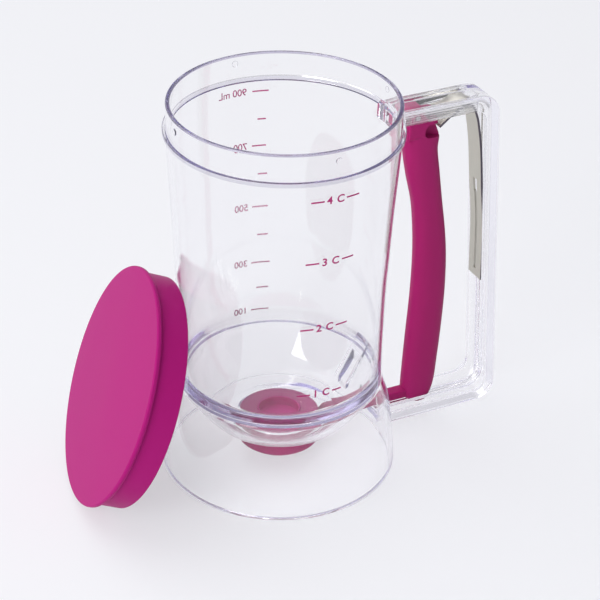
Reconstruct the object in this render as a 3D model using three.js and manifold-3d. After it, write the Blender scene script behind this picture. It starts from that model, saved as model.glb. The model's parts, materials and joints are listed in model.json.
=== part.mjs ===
// A batter dispenser: a clear measuring tube over a funnel bowl, a clear channel handle, and a
// squeeze lever that swings a cup away from the outlet. The lid is off and leans on the tube.
// Millimetres. While it is built, the tube's axis is Z, the table is z = 0 and the handle is at +X.

import * as THREE from "three";
import { mergeVertices } from "three/addons/utils/BufferGeometryUtils.js";
import Module from "manifold-3d";

const wasm = await Module();
wasm.setup();

// Clearances and facet counts
const gap = 0.3;
const overrun = 4;
const weldTolerance = 1e-4;
const roundFacets = 48;
const pinFacets = 16;
const cornerFacets = 5;
const roundingFacets = 3;
const bowlFacets = 8;
const splineSteps = 3;
const settlingPasses = 40;

// Foot skirt
const footRadius = 55.3;
const footWall = 2.2;
const footBead = 0.5;

// Slot of the foot for the valve arm
const armSlotSide = 1.2;
const armSlotBelow = 4.6;
const armSlotAbove = 1.6;

// Joint ring between foot, bowl and tube
const ringProud = 0.2;
const ringHeight = 4.8;

// Measuring tube
const tubeFootRadius = 47.5;
const tubeTopProud = 0.1;
const tubeWall = 2;
const neckRadius = 52;
const neckWall = 2;
const neckEdge = 0.5;
const neckHeight = 14.6;
const rimHeight = 186;
const flangeProud = 1.5;
const flangeHeight = 2;
const ledgeDepth = 0.6;
const studRadius = 1.5;
const studProud = 0.5;
const studBelowRim = 4.7;

// Funnel bowl
const seatHeight = 18.9;
const bowlDepth = 26.3;
const bowlWall = 2.5;
const spigotHeight = 2.5;
const outletRadius = 10.3;
const outletLip = 0.7;
const seatLandMargin = 1.3;
const seatFlatMargin = 4.5;
const seatLandDepth = 0.4;
const bowlFloor = 5.9;
const bowlFloorRise = 1.2;

// Raised pocket of the bowl over the valve arm
const pocketWidth = 11;
const pocketWall = 1.8;
const pocketDepth = 12;
const pocketNoseRise = 14.1;

// Channel handle
const handleWidth = 15;
const handleBelowFlange = 1;
const handleBottom = 4.3;
const handleWall = 1.8;
const handleWeb = 2.7;
const topArmDepth = 7.8;
const bottomArmDepth = 9.6;
const barDepth = 7.3;
const barBeyondHingeTop = 41.7;
const barBeyondHingeBottom = 51.3;
const outerCornerTop = 11;
const outerCornerBottom = 9;
const innerCornerTop = 5;
const innerCornerBottom = 8;
const rootBlock = 5;
const springRibWidth = 1;
const springRibBehind = 1.3;

// Hinge pin
const pinRadius = 1.2;
const hingeOffFlange = 10.5;
const hingeOffFoot = 8.7;
const hingeHeightShare = 0.51;

// Squeeze grip
const gripRoundShare = 0.37;
const gripHeadRoundShare = 0.09;
const gripOffFloor = 3;
const gripBelowHandle = 9.4;
const gripReach = 22;
const headFront = 4;
const headBack = 6.5;
const headSkirt = 12;
const notchRadius = 3.2;
const notchReach = 13.5;
const notchDrop = 9.9;

// Valve arm
const armWidth = 6;
const armThickness = 4.4;
const armBelowSeat = 1.5;
const armEndDepth = 5;
const tongueThickness = 3.2;
const tongueDepth = 8;
const armShoulder = 3;

// Valve cup and its seal
const cupRadius = 19;
const cupHeight = 9.7;
const cupWall = 2.2;
const cupEdge = 2.5;
const cupFloor = 6;
const sealProud = 0.3;
const sealRecessDepth = 1.5;

// Leaf spring
const springSideRoom = 0.3;
const springThickness = 0.9;
const springEndHeight = 72.5;
const springOffWeb = 4.5;
const springTipAside = 1.6;
const springTipLift = 0.3;
const springSlotWidth = 1.8;
const springSlotHeadWidth = 3;
const springSlotHeadLength = 7;
const springSlotBottom = 4;
const springSlotTop = 53.5;

// Lid
const lidLip = 1.9;
const lidPlate = 2.4;
const lidDome = 0.8;
const lidSkirtWall = 1.5;
const lidHeadroom = 0.5;
const lidEdge = 0.7;

// Where the lid stands: its tilt off the vertical, where its face looks and where it stands
const lidTilt = THREE.MathUtils.degToRad(21.2);
const lidFacing = THREE.MathUtils.degToRad(168.3);
const lidBearing = THREE.MathUtils.degToRad(174.9);

// Outlines as shares of the sizes that they follow
const footFlareShares = [[0, 1], [0.17, 0.93], [0.4, 0.79], [0.6, 0.65], [0.74, 0.5], [0.88, 0.24], [1, 0]];
const tubeFlareShares = [[0, 0], [0.33, 0.13], [0.5, 0.33], [0.7, 0.57], [0.9, 0.87], [1, 1]];
const gripFrontShares = [
  [0.046, 0.123], [0.131, 0.145], [0.249, 0.195], [0.38, 0.255], [0.505, 0.273],
  [0.61, 0.245], [0.721, 0.155], [0.82, -0.018], [0.918, -0.155], [0.984, -0.18],
];
const gripBackShares = [
  [0.985, 0.5], [0.962, 0.6], [0.938, 0.65], [0.898, 0.618], [0.82, 0.709], [0.721, 0.809],
  [0.623, 0.9], [0.538, 0.968], [0.446, 1], [0.361, 1], [0.249, 0.968], [0.138, 0.923], [0.06, 0.877],
];
const gripHeelShares = [[0.004, 0.68], [0, 0.45], [0.008, 0.24]];
const springTipShares = [[0, 0], [0.2, 0.407], [0.376, 0.762], [0.496, 0.943]];
const springLegShares = [
  [0.597, 1], [0.693, 0.99], [0.764, 0.97], [0.83, 0.93], [0.881, 0.876], [0.948, 0.735],
  [0.985, 0.513], [1.019, 0.347], [1.016, 0.181], [1, 0],
];

// Heights and radii that follow from the sizes above
const ringRadius = tubeFootRadius + ringProud;
const ringBottom = seatHeight + bowlDepth;
const ringTop = ringBottom + ringHeight;
const footTop = ringBottom - gap;
const tubeBottom = ringTop + gap;
const tubeTopRadius = neckRadius + tubeTopProud;
const flangeRadius = neckRadius + flangeProud;
const flangeBottom = rimHeight - neckHeight;
const flangeTop = flangeBottom + flangeHeight;
const spigotRadius = tubeFootRadius - tubeWall - gap;
const bowlNeckRadius = ringRadius - footWall - gap;
const seatLandRadius = cupRadius + seatLandMargin;
const seatFlatRadius = seatLandRadius + seatFlatMargin;
const seatFlatHeight = seatHeight + seatLandDepth;
const bowlCentre = (bowlNeckRadius ** 2 - seatFlatRadius ** 2 + ringBottom ** 2 - seatFlatHeight ** 2)
  / (2 * (ringBottom - seatFlatHeight));
const bowlRadius = Math.hypot(bowlNeckRadius, bowlCentre - ringBottom);
const bowlInnerRadius = bowlRadius - bowlWall;
const pocketNose = bowlInnerRadius - pocketDepth;
const pocketNoseHeight = seatHeight + pocketNoseRise;
const handleTop = flangeTop - handleBelowFlange;
const channelWidth = handleWidth - 2 * handleWall;
const hingeReach = Math.max(flangeRadius + hingeOffFlange, footRadius + hingeOffFoot);
const barReach = (height) => hingeReach + THREE.MathUtils.mapLinear(
  height, handleTop, handleBottom, barBeyondHingeTop, barBeyondHingeBottom);
const springLine = (height) => barReach(height) - handleWeb - springOffWeb;
const webUnder = handleTop - handleWeb;
const topArmUnder = handleTop - topArmDepth;
const bottomArmTop = handleBottom + bottomArmDepth;
const hingeHeight = THREE.MathUtils.lerp(topArmUnder, webUnder, hingeHeightShare);
const gripTop = handleTop - gripBelowHandle;
const gripWidth = channelWidth - 2 * gap;
const gripRound = gripWidth * gripRoundShare;
const gripHeadRound = gripWidth * gripHeadRoundShare;
const gripBottom = handleBottom + handleWeb + gripOffFloor;
const armTop = seatHeight - armBelowSeat;
const armBottom = armTop - armThickness;
const cupTop = seatHeight - gap - sealProud;
const cupBottom = cupTop - cupHeight;
const cupInnerFloor = cupBottom + cupFloor;
const armSocketHeight = (cupBottom + cupInnerFloor) / 2;
const springWidth = gripWidth - 2 * springSideRoom;
const springApex = webUnder - gap - springThickness / 2;
const springTipReach = hingeReach + notchReach - springTipAside;
const springTipHeight = hingeHeight - notchDrop + springTipLift;
const lidSkirtRadius = neckRadius + gap + lidSkirtWall;
const lidRadius = lidSkirtRadius + lidLip;
const lidDepth = lidPlate + rimHeight - flangeTop + lidHeadroom;

// Solids, joined and cut
function toSolid(geometry) {
  const bare = geometry.index ? geometry.toNonIndexed() : geometry.clone();
  bare.deleteAttribute("normal");
  bare.deleteAttribute("uv");
  const merged = mergeVertices(bare, weldTolerance);
  return new wasm.Manifold(new wasm.Mesh({
    numProp: 3,
    vertProperties: new Float32Array(merged.attributes.position.array),
    triVerts: new Uint32Array(merged.index.array),
  }));
}

function toGeometry(solid) {
  const mesh = solid.getMesh();
  const geometry = new THREE.BufferGeometry();
  geometry.setAttribute("position", new THREE.BufferAttribute(new Float32Array(mesh.vertProperties), 3));
  geometry.setIndex(new THREE.BufferAttribute(new Uint32Array(mesh.triVerts), 1));
  geometry.computeVertexNormals();
  return geometry;
}

// A profile of [radius, height] points, turned about Z. It runs up its outside and down its inside.
function turned(profile, facets = roundFacets) {
  const points = profile.map(([radius, height]) => new THREE.Vector2(radius, height));
  const geometry = new THREE.LatheGeometry(points, facets);
  geometry.rotateX(Math.PI / 2);
  return geometry;
}

function closed(profile) {
  return [...profile, profile[0]];
}

// An outline in X and Z, with its thickness along Y and centred on y = 0
function slab(shape, width, round = 0) {
  const geometry = new THREE.ExtrudeGeometry(shape, {
    depth: width - 2 * round,
    bevelEnabled: round > 0,
    bevelThickness: round,
    bevelSize: round,
    bevelOffset: -round,
    bevelSegments: roundingFacets,
    curveSegments: cornerFacets,
  });
  geometry.rotateX(Math.PI / 2);
  geometry.translate(0, width / 2 - round, 0);
  return geometry;
}

// A closed outline of [x, z, corner radius] corners
function roundedShape(corners) {
  const shape = new THREE.Shape();
  corners.forEach(([x, z, radius], index) => {
    const corner = new THREE.Vector2(x, z);
    const [previousX, previousZ] = corners.at(index - 1);
    const [nextX, nextZ] = corners[(index + 1) % corners.length];
    const towardsPrevious = new THREE.Vector2(previousX, previousZ).sub(corner).normalize();
    const towardsNext = new THREE.Vector2(nextX, nextZ).sub(corner).normalize();
    const start = corner.clone().addScaledVector(towardsPrevious, radius);
    const end = corner.clone().addScaledVector(towardsNext, radius);
    if (index === 0) shape.moveTo(start.x, start.y);
    else shape.lineTo(start.x, start.y);
    if (radius > 0) shape.quadraticCurveTo(corner.x, corner.y, end.x, end.y);
  });
  shape.closePath();
  return shape;
}

function boxBetween(x0, x1, y0, y1, z0, z1) {
  const geometry = new THREE.BoxGeometry(x1 - x0, y1 - y0, z1 - z0);
  geometry.translate((x0 + x1) / 2, (y0 + y1) / 2, (z0 + z1) / 2);
  return toSolid(geometry);
}

// A cylinder along Y through [x, z]
function crossPin(x, z, radius, length, facets = pinFacets) {
  const geometry = new THREE.CylinderGeometry(radius, radius, length, facets);
  geometry.translate(x, 0, z);
  return geometry;
}

function along(from, to, share) {
  return THREE.MathUtils.lerp(from, to, share);
}

// Points of the outside of the foot and of the tube, from low to high, moved out by a clearance
function footOutside(clearance = 0) {
  return footFlareShares.map(([heightShare, flareShare]) => [
    along(ringRadius, footRadius, flareShare) + clearance,
    along(0, footTop, heightShare),
  ]);
}

function tubeOutside(clearance = 0) {
  return tubeFlareShares.map(([heightShare, flareShare]) => [
    along(tubeFootRadius, tubeTopRadius, flareShare) + clearance,
    along(tubeBottom, flangeBottom, heightShare),
  ]);
}

function tubeRadiusAt(height) {
  const points = tubeOutside();
  const above = points.findIndex(([, pointHeight]) => pointHeight >= height);
  if (above <= 0) return points.at(above)[0];
  const [lowRadius, low] = points[above - 1];
  const [highRadius, high] = points[above];
  return THREE.MathUtils.mapLinear(height, low, high, lowRadius, highRadius);
}

function measuringTube() {
  const outside = tubeOutside();
  const inside = tubeOutside(-tubeWall).reverse();
  const neckInside = neckRadius - neckWall;
  const body = turned(closed([
    ...outside,
    [flangeRadius, flangeBottom + neckEdge],
    [flangeRadius, flangeTop - neckEdge],
    [neckRadius, flangeTop],
    [neckRadius, rimHeight - neckEdge],
    [neckRadius - neckEdge, rimHeight],
    [neckInside + neckEdge, rimHeight],
    [neckInside, rimHeight - neckEdge],
    [neckInside, flangeTop],
    [neckInside - ledgeDepth, flangeTop - ledgeDepth],
    ...inside,
  ]));
  let solid = toSolid(body);
  for (let quarter = 0; quarter < 4; quarter += 1) {
    const length = neckWall / 2 + studProud;
    const stud = new THREE.CylinderGeometry(studRadius, studRadius, length, pinFacets);
    stud.rotateZ(Math.PI / 2);
    stud.translate(neckRadius + studProud - length / 2, 0, rimHeight - studBelowRim);
    stud.rotateZ((quarter * Math.PI) / 2);
    solid = solid.add(toSolid(stud));
  }
  return toGeometry(solid);
}

// Points on the bowl's spheres between two heights, from the first to the second
function spherePoints(radius, fromHeight, toHeight, count = bowlFacets) {
  const from = Math.asin((fromHeight - bowlCentre) / radius);
  const to = Math.asin((toHeight - bowlCentre) / radius);
  return Array.from({ length: count }, (_, index) => {
    const angle = along(from, to, index / (count - 1));
    return [radius * Math.cos(angle), bowlCentre + radius * Math.sin(angle)];
  });
}

function funnelBowl() {
  const spigotTop = ringTop + spigotHeight;
  const outletTop = seatHeight + bowlFloor;
  const floorEdge = outletTop + bowlFloorRise;
  const solid = toSolid(turned(closed([
    [seatLandRadius, seatHeight],
    [seatLandRadius, seatFlatHeight],
    ...spherePoints(bowlRadius, seatFlatHeight, ringBottom),
    [ringRadius, ringBottom],
    [ringRadius, ringTop],
    [spigotRadius, ringTop],
    [spigotRadius, spigotTop],
    ...spherePoints(bowlInnerRadius, spigotTop, floorEdge),
    [outletRadius + outletLip, outletTop],
    [outletRadius, outletTop - outletLip],
    [outletRadius, seatHeight],
  ])));
  const roofReach = Math.sqrt(bowlInnerRadius ** 2 - (bowlCentre - spigotTop) ** 2);
  const low = seatHeight + bowlFloor / 2;
  const housing = toSolid(slab(roundedShape([
    [pocketNose, low, 0],
    [roofReach, low, 0],
    [roofReach, spigotTop, 0],
    [pocketNose, pocketNoseHeight, 0],
  ]), pocketWidth));
  const bowlInside = toSolid(turned([
    [0, low - overrun],
    ...spherePoints((bowlRadius + bowlInnerRadius) / 2, low - overrun, spigotTop),
    [0, spigotTop],
  ]));
  const innerWidth = pocketWidth - 2 * pocketWall;
  const hollow = toSolid(slab(roundedShape([
    [pocketNose + pocketWall, seatHeight - overrun, 0],
    [roofReach - pocketWall, seatHeight - overrun, 0],
    [roofReach - pocketWall, spigotTop - 2 * pocketWall - spigotHeight, 0],
    [pocketNose + pocketWall, pocketNoseHeight - pocketWall, 0],
  ]), innerWidth));
  return toGeometry(solid.add(housing.intersect(bowlInside)).subtract(hollow));
}

function footSkirt() {
  const outside = footOutside();
  const inside = footOutside(-footWall).reverse();
  inside[inside.length - 1][0] -= footBead;
  const solid = toSolid(turned(closed([...outside, ...inside])));
  const slot = boxBetween(0, footRadius + overrun,
    -armWidth / 2 - armSlotSide, armWidth / 2 + armSlotSide,
    armBottom - armSlotBelow, armTop + armSlotAbove);
  return toGeometry(solid.subtract(slot));
}

function handleFrame() {
  const barInside = (height) => barReach(height) - barDepth;
  const outline = slab(roundedShape([
    [0, handleTop, 0],
    [0, topArmUnder, 0],
    [barInside(topArmUnder), topArmUnder, innerCornerTop],
    [barInside(bottomArmTop), bottomArmTop, innerCornerBottom],
    [0, bottomArmTop, 0],
    [0, handleBottom, 0],
    [barReach(handleBottom), handleBottom, outerCornerBottom],
    [barReach(handleTop), handleTop, outerCornerTop],
  ]), handleWidth);
  const channelStart = tubeRadiusAt(topArmUnder) + gap + rootBlock;
  const floor = handleBottom + handleWeb;
  const channel = toSolid(slab(roundedShape([
    [channelStart, webUnder, 0],
    [channelStart, topArmUnder - overrun, 0],
    [barInside(topArmUnder) - overrun, topArmUnder - overrun, 0],
    [barInside(bottomArmTop) - overrun, bottomArmTop + overrun, 0],
    [0, bottomArmTop + overrun, 0],
    [0, floor, 0],
    [barReach(floor) - handleWeb, floor, outerCornerBottom - handleWeb],
    [barReach(webUnder) - handleWeb, webUnder, outerCornerTop - handleWeb],
  ]), channelWidth));
  const ribBottom = springEndHeight + springSlotBottom + gap;
  const ribTop = springEndHeight + springSlotTop - springSlotHeadLength - gap;
  const rib = toSolid(slab(roundedShape([
    [springLine(ribBottom) + springRibBehind, ribBottom, 0],
    [barReach(ribBottom) - handleWeb / 2, ribBottom, 0],
    [barReach(ribTop) - handleWeb / 2, ribTop, 0],
    [springLine(ribTop) + springRibBehind, ribTop, 0],
  ]), springRibWidth));
  const tubeRoom = toSolid(turned([[0, ringTop], ...tubeOutside(gap), [0, flangeBottom]]));
  const flangeRoom = toSolid(turned([
    [0, flangeBottom - gap],
    [flangeRadius + gap, flangeBottom - gap],
    [flangeRadius + gap, rimHeight],
    [0, rimHeight],
  ]));
  const footRoom = toSolid(turned([[0, 0], ...footOutside(gap), [0, footTop]]));
  const pinHole = toSolid(crossPin(hingeReach, hingeHeight, pinRadius + gap, handleWidth + overrun));
  return toGeometry(toSolid(outline)
    .subtract(channel)
    .add(rib)
    .subtract(tubeRoom)
    .subtract(flangeRoom)
    .subtract(footRoom)
    .subtract(pinHole));
}

function hingePin() {
  return crossPin(hingeReach, hingeHeight, pinRadius, handleWidth - gap);
}

// A point of the grip from its shares of the grip's height and reach
function gripPoint([heightShare, reachShare]) {
  return new THREE.Vector2(
    hingeReach + gripReach * reachShare,
    along(gripBottom, gripTop, heightShare));
}

function triggerGrip() {
  const outline = [...gripBackShares, ...gripHeelShares, ...gripFrontShares].map(gripPoint);
  const shape = new THREE.Shape(outline);
  const grip = toSolid(slab(shape, gripWidth, gripRound));
  const domeTop = webUnder - gap;
  const headBottom = hingeHeight - headSkirt;
  const head = toSolid(slab(roundedShape([
    [hingeReach - headFront, headBottom, 0],
    [hingeReach + headBack, headBottom, 0],
    [hingeReach + headBack, domeTop - headFront, 0],
    [hingeReach + headFront / 2, domeTop, headFront / 2],
    [hingeReach - headFront, domeTop, headFront],
  ]), gripWidth, gripHeadRound));
  const pinHole = toSolid(crossPin(hingeReach, hingeHeight, pinRadius + gap, gripWidth + overrun));
  const notch = toSolid(crossPin(hingeReach + notchReach, hingeHeight - notchDrop,
    notchRadius, gripWidth + overrun));
  const front = gripPoint(gripFrontShares[0]).x;
  const socket = boxBetween(front - overrun, front + armEndDepth + gap,
    -armWidth / 2 - gap, armWidth / 2 + gap, armBottom - gap, armTop + gap);
  return toGeometry(grip.add(head).subtract(pinHole).subtract(notch).subtract(socket));
}

function valveArm() {
  const tongueEnd = cupRadius - tongueDepth;
  const shoulder = cupRadius + gap;
  const tongueBottom = armSocketHeight - tongueThickness / 2;
  const tongueTop = armSocketHeight + tongueThickness / 2;
  const armEnd = gripPoint(gripFrontShares[0]).x + armEndDepth;
  return slab(roundedShape([
    [tongueEnd, tongueBottom, 0],
    [shoulder + armShoulder, tongueBottom, 0],
    [shoulder + 2 * armShoulder, armBottom, 0],
    [armEnd, armBottom, 0],
    [armEnd, armTop, 0],
    [shoulder + 2 * armShoulder, armTop, 0],
    [shoulder + armShoulder, tongueTop, 0],
    [tongueEnd, tongueTop, 0],
  ]), armWidth);
}

function valveCup() {
  const solid = toSolid(turned([
    [0, cupBottom],
    [cupRadius - cupEdge, cupBottom],
    [cupRadius - cupEdge * (1 - Math.SQRT1_2), cupBottom + cupEdge * (1 - Math.SQRT1_2)],
    [cupRadius, cupBottom + cupEdge],
    [cupRadius, cupTop],
    [cupRadius - cupWall, cupTop],
    [cupRadius - cupWall, cupInnerFloor],
    [0, cupInnerFloor],
  ]));
  const half = tongueThickness / 2 + gap;
  const socket = boxBetween(cupRadius - tongueDepth - gap, cupRadius + overrun,
    -armWidth / 2 - gap, armWidth / 2 + gap, armSocketHeight - half, armSocketHeight + half);
  return toGeometry(solid.subtract(socket));
}

function valveSeal() {
  const sealTop = cupTop + sealProud;
  const sealRadius = cupRadius - cupWall - gap;
  return turned([
    [0, cupInnerFloor + gap],
    [sealRadius, cupInnerFloor + gap],
    [sealRadius, sealTop],
    [outletRadius, sealTop],
    [outletRadius, sealTop - sealRecessDepth],
    [0, sealTop - sealRecessDepth],
  ]);
}

function leafSpring() {
  const pathPoint = (lowest, [reachShare, heightShare]) => {
    const height = along(lowest, springApex, heightShare);
    return new THREE.Vector3(along(springTipReach, springLine(height), reachShare), 0, height);
  };
  const controls = [
    ...springTipShares.map((shares) => pathPoint(springTipHeight, shares)),
    ...springLegShares.map((shares) => pathPoint(springEndHeight, shares)),
  ];
  const curve = new THREE.CatmullRomCurve3(controls);
  const steps = (controls.length - 1) * splineSteps;
  const leftSide = [];
  const rightSide = [];
  for (let step = 0; step <= steps; step += 1) {
    const point = curve.getPoint(step / steps);
    const tangent = curve.getTangent(step / steps);
    const across = new THREE.Vector2(-tangent.z, tangent.x).multiplyScalar(springThickness / 2);
    leftSide.push(new THREE.Vector2(point.x + across.x, point.z + across.y));
    rightSide.push(new THREE.Vector2(point.x - across.x, point.z - across.y));
  }
  const strip = toSolid(slab(new THREE.Shape([...leftSide, ...rightSide.reverse()]), springWidth));
  const reach = [springLine(springEndHeight) - springWidth, springLine(springEndHeight) + springWidth];
  const slotBottom = springEndHeight + springSlotBottom;
  const slotTop = springEndHeight + springSlotTop;
  const slot = boxBetween(...reach, -springSlotWidth / 2, springSlotWidth / 2, slotBottom, slotTop);
  const slotHead = boxBetween(...reach, -springSlotHeadWidth / 2, springSlotHeadWidth / 2,
    slotTop - springSlotHeadLength, slotTop);
  return toGeometry(strip.subtract(slot).subtract(slotHead));
}

// The lid with its open side down and the middle of its top face at the origin
function lid() {
  return turned([
    [0, -lidPlate],
    [lidSkirtRadius - lidSkirtWall, -lidPlate],
    [lidSkirtRadius - lidSkirtWall, -lidDepth],
    [lidSkirtRadius, -lidDepth],
    [lidSkirtRadius, -lidPlate],
    [lidRadius - lidEdge, -lidPlate],
    [lidRadius, lidEdge - lidPlate],
    [lidRadius, -lidEdge],
    [lidRadius - lidEdge, 0],
    [0, lidDome],
  ]);
}

// The lid's rim edge stands on the table, and its upper rim stops a clearance short of the tube
function placeLid(mesh) {
  const face = new THREE.Vector3(
    Math.cos(lidTilt) * Math.cos(lidFacing), Math.cos(lidTilt) * Math.sin(lidFacing), Math.sin(lidTilt));
  mesh.quaternion.setFromUnitVectors(new THREE.Vector3(0, 0, 1), face);
  const height = lidDepth * Math.sin(lidTilt) + lidSkirtRadius * Math.cos(lidTilt);
  const bearing = new THREE.Vector3(Math.cos(lidBearing), Math.sin(lidBearing), 0);
  let distance = 2 * footRadius;
  for (let pass = 0; pass < settlingPasses; pass += 1) {
    mesh.position.copy(bearing).multiplyScalar(distance).setZ(height);
    mesh.updateMatrixWorld();
    let room = distance;
    for (let facet = 0; facet < roundFacets; facet += 1) {
      const turn = (2 * Math.PI * facet) / roundFacets;
      const rim = new THREE.Vector3(
        lidSkirtRadius * Math.cos(turn), lidSkirtRadius * Math.sin(turn), -lidDepth);
      mesh.localToWorld(rim);
      room = Math.min(room, Math.hypot(rim.x, rim.y) - tubeRadiusAt(rim.z));
    }
    distance -= room - gap;
  }
}

// Materials
const clearPlastic = { color: 0xf1eef6, roughness: 0.08, metalness: 0, transparent: true, opacity: 0.35 };
const magentaPlastic = { color: 0xb3206f, roughness: 0.42, metalness: 0 };
const magentaSeal = { color: 0xb5347d, roughness: 0.6, metalness: 0 };
const springSteel = { color: 0xc8c5b8, roughness: 0.35, metalness: 1 };
const pinSteel = { color: 0x9a98a0, roughness: 0.3, metalness: 1 };

const assembly = new THREE.Group();

function addPiece(name, geometry, look) {
  const mesh = new THREE.Mesh(geometry, new THREE.MeshStandardMaterial(look));
  mesh.name = name;
  assembly.add(mesh);
  return mesh;
}

addPiece("measuring_tube", measuringTube(), clearPlastic);
addPiece("funnel_bowl", funnelBowl(), clearPlastic);
addPiece("foot_skirt", footSkirt(), clearPlastic);
addPiece("handle_frame", handleFrame(), clearPlastic);
addPiece("hinge_pin", hingePin(), pinSteel);
addPiece("leaf_spring", leafSpring(), springSteel);
addPiece("trigger_grip", triggerGrip(), magentaPlastic);
addPiece("valve_arm", valveArm(), magentaPlastic);
addPiece("valve_cup", valveCup(), magentaPlastic);
addPiece("valve_seal", valveSeal(), magentaSeal);
placeLid(addPiece("lid", lid(), magentaPlastic));

// The origin of the part is the middle of its bounding box, on the table
assembly.updateMatrixWorld(true);
const bounds = new THREE.Box3().setFromObject(assembly, true);
const middle = bounds.getCenter(new THREE.Vector3());
assembly.position.set(-middle.x, -middle.y, -bounds.min.z);

const part = new THREE.Group();
part.add(assembly);
part.updateMatrixWorld(true);

export default part;
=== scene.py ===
# The batter dispenser, dressed for the photograph. Metres in the scene, millimetres in the shapes.
import json
import math

import bmesh
import bpy
from mathutils import Matrix, Vector


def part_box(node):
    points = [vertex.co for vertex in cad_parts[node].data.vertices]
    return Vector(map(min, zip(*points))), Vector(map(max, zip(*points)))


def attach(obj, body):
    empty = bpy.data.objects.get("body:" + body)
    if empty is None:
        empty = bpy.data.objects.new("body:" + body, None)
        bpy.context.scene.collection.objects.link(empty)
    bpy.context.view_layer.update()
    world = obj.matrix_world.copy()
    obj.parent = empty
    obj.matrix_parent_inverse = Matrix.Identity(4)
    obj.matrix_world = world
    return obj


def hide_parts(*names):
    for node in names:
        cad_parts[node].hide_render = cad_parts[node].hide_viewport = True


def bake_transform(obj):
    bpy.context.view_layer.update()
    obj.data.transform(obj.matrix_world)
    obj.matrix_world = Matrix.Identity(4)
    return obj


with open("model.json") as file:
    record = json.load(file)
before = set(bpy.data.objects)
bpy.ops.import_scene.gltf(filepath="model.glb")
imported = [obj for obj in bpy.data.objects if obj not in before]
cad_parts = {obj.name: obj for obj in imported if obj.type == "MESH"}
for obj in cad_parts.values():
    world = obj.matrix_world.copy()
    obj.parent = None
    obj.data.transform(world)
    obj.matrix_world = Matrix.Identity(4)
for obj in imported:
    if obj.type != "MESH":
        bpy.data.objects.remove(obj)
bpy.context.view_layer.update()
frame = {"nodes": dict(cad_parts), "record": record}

MM = 0.001
low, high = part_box("foot_skirt")
AXIS = Vector(((low.x + high.x) / 2, (low.y + high.y) / 2, 0))
ONTO_FRAME = Matrix.Translation(AXIS) @ Matrix.Scale(MM, 4)

# Sizes in millimetres, with the tube's axis at the origin and the handle at +X

# Foot, joint ring, and the groove between bowl and foot
FOOT_RADIUS = 55.3
FOOT_WALL = 2.2
FOOT_EDGE = 0.3
FOOT_TOP = 44.9
RING_RADIUS = 47.7
RING_BOTTOM = 45.2
RING_TOP = 50
RING_CROWN_WIDTH = 0.05
RING_CROWN_HEIGHT = 0.2
GROOVE_TOP = 47.1
GROOVE_RADIUS = 45.95
GROOVE_CROWN_WIDTH = 0.25
GROOVE_CROWN_HEIGHT = 0.2

# Tube, flange, neck and lid studs
TUBE_BOTTOM = 50.3
TUBE_FOOT_RADIUS = 47.5
TUBE_TOP_RADIUS = 52.1
TUBE_WALL = 2
TUBE_END = 0.3
NECK_RADIUS = 52
NECK_WALL = 2
NECK_EDGE = 0.8
NECK_FILLET = 0.1
FLANGE_RADIUS = 53.5
FLANGE_BOTTOM = 171.4
FLANGE_TOP = 173.4
FLANGE_EDGE = 0.3
RIM_HEIGHT = 186
STUDS = 4
STUD_RADIUS = 1.5
STUD_PROUD = 0.5
STUD_EDGE = 0.25
STUD_HEIGHT = 181.3

# Bowl, outlet, the soft sleeve in it and the recess for the seal
BOWL_CENTRE = 59.8
BOWL_RADIUS = 47.5
BOWL_WALL = 2.5
BOWL_BASE = 19.3
BOWL_TURN = 30
BLEND_TOP = 55.5
BLEND_BOTTOM = 45.5
SEAT_HEIGHT = 22.3
SEAT_RADIUS = 19.9
SEAT_RUN = 18
SEAT_FALL = 3
OUTLET_RADIUS = 10.3
OUTLET_TOP = 24.8
OUTLET_LIP = 0.7
OUTLET_LIP_SHARE = 0.3
SLEEVE_WALL = 0.8
SLEEVE_GAP = 0.2

# Raised pocket on the handle side of the bowl
POCKET_NOSE = 33
POCKET_NOSE_HEIGHT = 33
POCKET_WIDTH = 11
POCKET_FLOOR = 21.85
POCKET_TOP = 52.5
POCKET_WALL = 1.8
POCKET_CORNER = 0.5
POCKET_EDGE = 0.3
HOLLOW_BOTTOM = 14.9
HOLLOW_DROP = 2.5
HOLLOW_EDGE = 0.4

# Slot in the foot, round the valve arm
SLOT_BELOW = 4.6
SLOT_ABOVE = 1.6
SLOT_BESIDE = 1.2

# Handle, a channel open towards the tube, with flutes inside its top arm
HANDLE_WIDTH = 15
HANDLE_TOP = 172.4
HANDLE_BOTTOM = 4.3
HANDLE_WALL = 1.8
HANDLE_WEB = 2.7
HANDLE_EDGE = 0.5
TOP_ARM_UNDER = 164.6
BOTTOM_ARM_TOP = 13.9
BAR_REACH_TOP = 105.7
BAR_REACH_BOTTOM = 115.3
BAR_DEPTH = 7.3
OUTER_CORNER_TOP = 11
OUTER_CORNER_BOTTOM = 9
INNER_CORNER_TOP = 5
INNER_CORNER_BOTTOM = 8
ROOT_BLOCK = 5
ROOT_SINK = 1
CHANNEL_ROUND = 3.6
CHANNEL_CORNER = 1
FLUTES = 5
FLUTE_DEPTH = 0.8
FLUTE_PITCH = 1.1

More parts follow.
